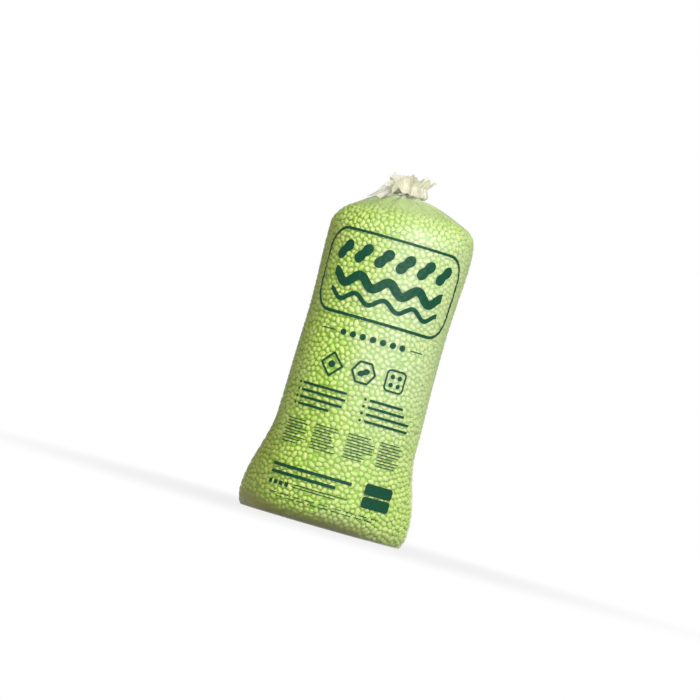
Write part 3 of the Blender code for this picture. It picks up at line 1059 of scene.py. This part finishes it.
def even(corners):
    """A closed outline whose sides between corners are divided into even steps."""
    found = []
    for a, b in zip(corners, [*corners[1:], corners[0]]):
        steps = max(1, math.ceil(math.dist(a, b) / INK_STEP))
        found += [mix(a, b, i / steps) for i in range(steps)]
    return found


def polygon(centre, reach, sides):
    """The outline of a regular shape with a corner on its right."""
    return even(around(centre, reach, np.arange(sides) * math.tau / sides))


def rounded_box(centre, width, height, radius):
    """The outline of a box with round corners."""
    found = []
    steps = max(4, math.ceil(0.5 * math.pi * radius / INK_STEP))
    for quarter, (sx, sy) in enumerate(((1, 1), (-1, 1), (-1, -1), (1, -1))):
        middle = (centre[0] + sx * (0.5 * width - radius), centre[1] + sy * (0.5 * height - radius))
        found += [*around(middle, radius, 0.5 * math.pi * (quarter + np.arange(steps + 1) / steps))]
    return even(found)


def peanut_outline(centre, length, lean):
    """A shape with two round ends and a waist, tipped by lean degrees."""
    turn = np.arange(56) * math.tau / 56
    radius = 0.5 * length * (0.80 + 0.20 * np.cos(2.0 * turn) - 0.16 * np.sin(turn) ** 6)
    x, y = radius * np.cos(turn), 0.82 * radius * np.sin(turn)
    across, up = math.cos(math.radians(lean)), math.sin(math.radians(lean))
    return np.stack((centre[0] + x * across - y * up, centre[1] + x * up + y * across), axis=1)


PRINT_LEFT = -0.300
FINE_BAR_WIDTH = 0.0042

PANEL_MIDDLE = (0.0, 1.110)
PANEL_SIZE = (0.700, 0.370)
PANEL_CORNER = 0.105
PANEL_RULE = 0.013
PANEL_SHAPES = 6
PANEL_SHAPE_LEVEL = 1.200
PANEL_SHAPE_SPACING = 0.098
PANEL_SHAPE_LENGTH = 0.104
PANEL_SHAPE_LEAN = 52.0
WAVE_REACH = 0.270
WAVE_LENGTH = 0.135
WAVE_POINTS = 160
# Level, swing and width of each wave.
WAVES = ((1.082, 0.022, 0.040), (1.005, 0.018, 0.020))

DOTS = 7
DOT_LEVEL = 0.848
DOT_SPACING = 0.046
DOT_RADIUS = 0.0140
DOT_RULES = ((-0.250, -0.180), (0.180, 0.250))
DOT_RULE_WIDTH = 0.005

BADGE_LEVEL = 0.700
BADGE_SPACING = 0.150
BADGE_REACH = 0.052
BADGE_RULE = 0.0095
BADGE_DOT_RADIUS = 0.016
BADGE_SHAPE_LENGTH = 0.056
BADGE_SHAPE_LEAN = 30.0
BADGE_BOX = 0.092
BADGE_BOX_CORNER = 0.018
BADGE_BOX_RULE = 0.0085
BOX_DOT_OFFSET = 0.018
BOX_DOT_RADIUS = 0.0105

NOTE_STARTS = (-0.290, 0.040)
NOTE_ROWS = 4
NOTE_LEVEL = 0.592
NOTE_SPACING = 0.031
NOTE_DOT_RADIUS = 0.0065
NOTE_INDENT = 0.020
NOTE_LENGTH = (0.165, 0.235)
NOTE_WIDTH = 0.0110
SMALL_COLUMNS = 4
SMALL_COLUMN_SPACING = 0.155
SMALL_ROWS = 9
SMALL_LEVEL = 0.430
SMALL_SPACING = 0.0130
SMALL_LENGTH = (0.080, 0.130)

BLOCKS = ((0.225, 0.161), (0.225, 0.219))
BLOCK_SIZE = (0.150, 0.050)
BLOCK_CORNER = 0.012
# Left end, right end, level and width of each bar.
FOOT_BARS = (
    (PRINT_LEFT, 0.085, 0.220, 0.014),
    (PRINT_LEFT, 0.020, 0.186, 0.014),
    (-0.165, 0.085, 0.150, FINE_BAR_WIDTH),
    (-0.165, 0.030, 0.138, FINE_BAR_WIDTH),
)
SQUARES = 4
SQUARE_SIZE = 0.019
SQUARE_LEVEL = 0.142
SQUARE_SPACING = 0.030
DASHES = 9
DASH_LENGTH = 0.040
DASH_WIDTH = 0.0036
# How far each row of dashes reaches to each side, and its level.
DASH_ROWS = ((0.280, 0.098), (0.240, 0.084))


def print_panel(ink):
    """The large framed panel: a row of peanut shapes over two waves."""
    ink.stroke(rounded_box(PANEL_MIDDLE, *PANEL_SIZE, PANEL_CORNER), PANEL_RULE, True)
    for i in range(PANEL_SHAPES):
        centre = (PANEL_SHAPE_SPACING * (i - 0.5 * (PANEL_SHAPES - 1)), PANEL_SHAPE_LEVEL)
        ink.solid(peanut_outline(centre, PANEL_SHAPE_LENGTH, PANEL_SHAPE_LEAN), centre)
    reach = np.linspace(-WAVE_REACH, WAVE_REACH, WAVE_POINTS)
    for level, swing, width in WAVES:
        ink.stroke(np.stack((reach, level + swing * np.cos(reach * math.tau / WAVE_LENGTH)), axis=1), width)


def print_badges(ink):
    """A row of dots between two rules, and three outlined badges below it."""
    for i in range(DOTS):
        ink.dot((DOT_SPACING * (i - 0.5 * (DOTS - 1)), DOT_LEVEL), DOT_RADIUS)
    for start, end in DOT_RULES:
        ink.bar(start, end, DOT_LEVEL, DOT_RULE_WIDTH)
    left, middle, right = ((across, BADGE_LEVEL) for across in (-BADGE_SPACING, 0.0, BADGE_SPACING))
    ink.stroke(polygon(left, BADGE_REACH, 4), BADGE_RULE, True)
    ink.dot(left, BADGE_DOT_RADIUS)
    ink.stroke(polygon(middle, BADGE_REACH, 6), BADGE_RULE, True)
    ink.solid(peanut_outline(middle, BADGE_SHAPE_LENGTH, BADGE_SHAPE_LEAN), middle)
    ink.stroke(rounded_box(right, BADGE_BOX, BADGE_BOX, BADGE_BOX_CORNER), BADGE_BOX_RULE, True)
    for dx in (-BOX_DOT_OFFSET, BOX_DOT_OFFSET):
        for dy in (-BOX_DOT_OFFSET, BOX_DOT_OFFSET):
            ink.dot((right[0] + dx, right[1] + dy), BOX_DOT_RADIUS)


def print_lines(ink):
    """Bars where a sack has its notes: two blocks of bold ones, and four columns of fine ones."""
    rng = np.random.default_rng(SEED + 5)
    for left in NOTE_STARTS:
        for row in range(NOTE_ROWS):
            level = NOTE_LEVEL - NOTE_SPACING * row
            start = left + NOTE_INDENT
            ink.dot((left, level), NOTE_DOT_RADIUS)
            ink.bar(start, start + rng.uniform(*NOTE_LENGTH), level, NOTE_WIDTH)
    for column in range(SMALL_COLUMNS):
        start = PRINT_LEFT + SMALL_COLUMN_SPACING * column
        for row in range(SMALL_ROWS):
            level = SMALL_LEVEL - SMALL_SPACING * row
            ink.bar(start, start + rng.uniform(*SMALL_LENGTH), level, FINE_BAR_WIDTH)


def print_foot(ink):
    """The bottom rows: a block of two bars, bold and fine bars, small squares and dashes."""
    for middle in BLOCKS:
        ink.solid(rounded_box(middle, *BLOCK_SIZE, BLOCK_CORNER), middle)
    for bar in FOOT_BARS:
        ink.bar(*bar)
    for i in range(SQUARES):
        left = PRINT_LEFT + SQUARE_SPACING * i
        ink.bar(left, left + SQUARE_SIZE, SQUARE_LEVEL, SQUARE_SIZE)
    for reach, level in DASH_ROWS:
        for i in range(DASHES):
            left = -reach + i * 2.0 * reach / DASHES
            ink.bar(left, left + DASH_LENGTH, level, DASH_WIDTH)


def make_print(sheet, material):
    for draw in (print_panel, print_badges, print_lines, print_foot):
        ink = Ink()
        draw(ink)
        ink.make(draw.__name__, sheet, material)


# Stage, lights and camera

FLOOR_REACH = 30.0
FLOOR_DROP = 0.0004
FLOOR_GREY = (0.40, 0.40, 0.40, 1.0)
WHITE = (1.0, 1.0, 1.0)

LAMP_TARGET = Vector((0.0, 0.0, 0.8))
# Name, place, width, watts and colour of each lamp, and whether it shows in reflections.
LAMPS = (
    ("key", (1.9, -4.4, 3.2), 2.4, 198.0, (1.0, 0.99, 0.97), True),
    ("fill", (-0.9, -5.0, 1.8), 2.0, 64.0, (1.0, 0.98, 0.92), True),
    ("rear", (1.0, 4.6, 2.8), 2.4, 150.0, WHITE, False),
    ("top", (0.3, 0.4, 4.4), 2.4, 8.0, WHITE, True),
)

VIEW_TARGET = Vector((-0.084, 0.0, 0.783))
VIEW_DISTANCE = 20.0
VIEW_WIDTH = 3.08
VIEW_ELEVATION = -0.8
VIEW_ROLL = 16.0
SENSOR = 36.0


def ray_is(nodes, *kinds):
    """1 for a ray of one of these kinds, 0 for any other."""
    path = nodes.add("ShaderNodeLightPath")
    found = path.outputs[f"Is {kinds[0]} Ray"]
    for kind in kinds[1:]:
        found = nodes.math("MAXIMUM", found, path.outputs[f"Is {kind} Ray"])
    return found


def floor_material():
    """White to the eye and a little darker near the sack, but grey to the lamps' light."""
    nodes = new_material("floor_white")
    nodes.set(base_color=FLOOR_GREY, roughness=0.9)
    length = nodes.add("ShaderNodeVectorMath", operation="LENGTH")
    nodes.link(nodes.place, length.inputs[0])
    white = nodes.ramp(length.outputs["Value"], 0.4, 2.2, 0.80, 1.0)
    share = nodes.product(ray_is(nodes, "Camera", "Glossy", "Transmission"), white)
    glow = nodes.add("ShaderNodeEmission")
    both = nodes.add("ShaderNodeMixShader")
    for output, node_input in zip((share, nodes.shader.outputs[0], glow.outputs[0]), both.inputs):
        nodes.link(output, node_input)
    nodes.link(both.outputs[0], nodes.tree.nodes["Material Output"].inputs["Surface"])
    return nodes.owner


def make_stage():
    mesh = bpy.data.meshes.new("floor")
    corners = [(x * FLOOR_REACH, y * FLOOR_REACH, 0.0) for x, y in ((-1, -1), (1, -1), (1, 1), (-1, 1))]
    mesh.from_pydata(corners, [], [(0, 1, 2, 3)])
    mesh.materials.append(floor_material())
    floor = bpy.data.objects.new("floor", mesh)
    floor.location.z = -FLOOR_DROP
    bpy.context.scene.collection.objects.link(floor)


def make_world():
    """White to the eye, but a dim light on everything else."""
    world = bpy.data.worlds.new("studio")
    bpy.context.scene.world = world
    nodes = Nodes(world, "Background")
    nodes.set(color=(*WHITE, 1.0))
    strength = nodes.ramp(ray_is(nodes, "Camera", "Transmission"), 0.0, 1.0, 0.30, 1.0)
    nodes.link(strength, nodes.shader.inputs["Strength"])


def make_lamps():
    for name, place, width, watts, colour, glossy in LAMPS:
        light = bpy.data.lights.new(name, "AREA")
        light.shape = "SQUARE"
        light.size = width
        light.energy = watts
        light.color = colour
        lamp = bpy.data.objects.new(name, light)
        lamp.location = place
        lamp.rotation_euler = (LAMP_TARGET - Vector(place)).to_track_quat("-Z", "Y").to_euler()
        lamp.visible_glossy = glossy
        bpy.context.scene.collection.objects.link(lamp)


def make_camera():
    """The photograph's camera: far off, level and rolled."""
    data = bpy.data.cameras.new("camera")
    data.sensor_width = SENSOR
    data.lens = SENSOR * VIEW_DISTANCE / VIEW_WIDTH
    data.clip_end = 100.0
    camera = bpy.data.objects.new("camera", data)
    up = math.radians(VIEW_ELEVATION)
    place = VIEW_TARGET + VIEW_DISTANCE * Vector((0.0, -math.cos(up), math.sin(up)))
    aim = (VIEW_TARGET - place).to_track_quat("-Z", "Y").to_matrix().to_4x4()
    camera.matrix_world = Matrix.Translation(place) @ aim @ Matrix.Rotation(math.radians(VIEW_ROLL), 4, "Z")
    bpy.context.scene.collection.objects.link(camera)
    bpy.context.scene.camera = camera


def main():
    make_camera()
    make_stage()
    make_world()
    make_lamps()

    found, _, grid, _ = sack_grid(PRESS_COLUMNS, PRESS_ROWS)
    balls, radii, size, wall = settle(found, grid)
    make_peanuts(balls, size, wall, peanut_material())
    make_core(core_material())

    found, angles, grid, out = sack_grid(FILM_COLUMNS, FILM_ROWS)
    points = make_sack(found, angles, grid, out, balls, radii, film_material())
    make_print(Sheet(found, grid, points, out), ink_material())
    make_ruffle(ruffle_material())
    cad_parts["neck_tie"].material_slots[0].material = tie_material()

    scene = bpy.context.scene
    scene.view_settings.view_transform = "Standard"


main()
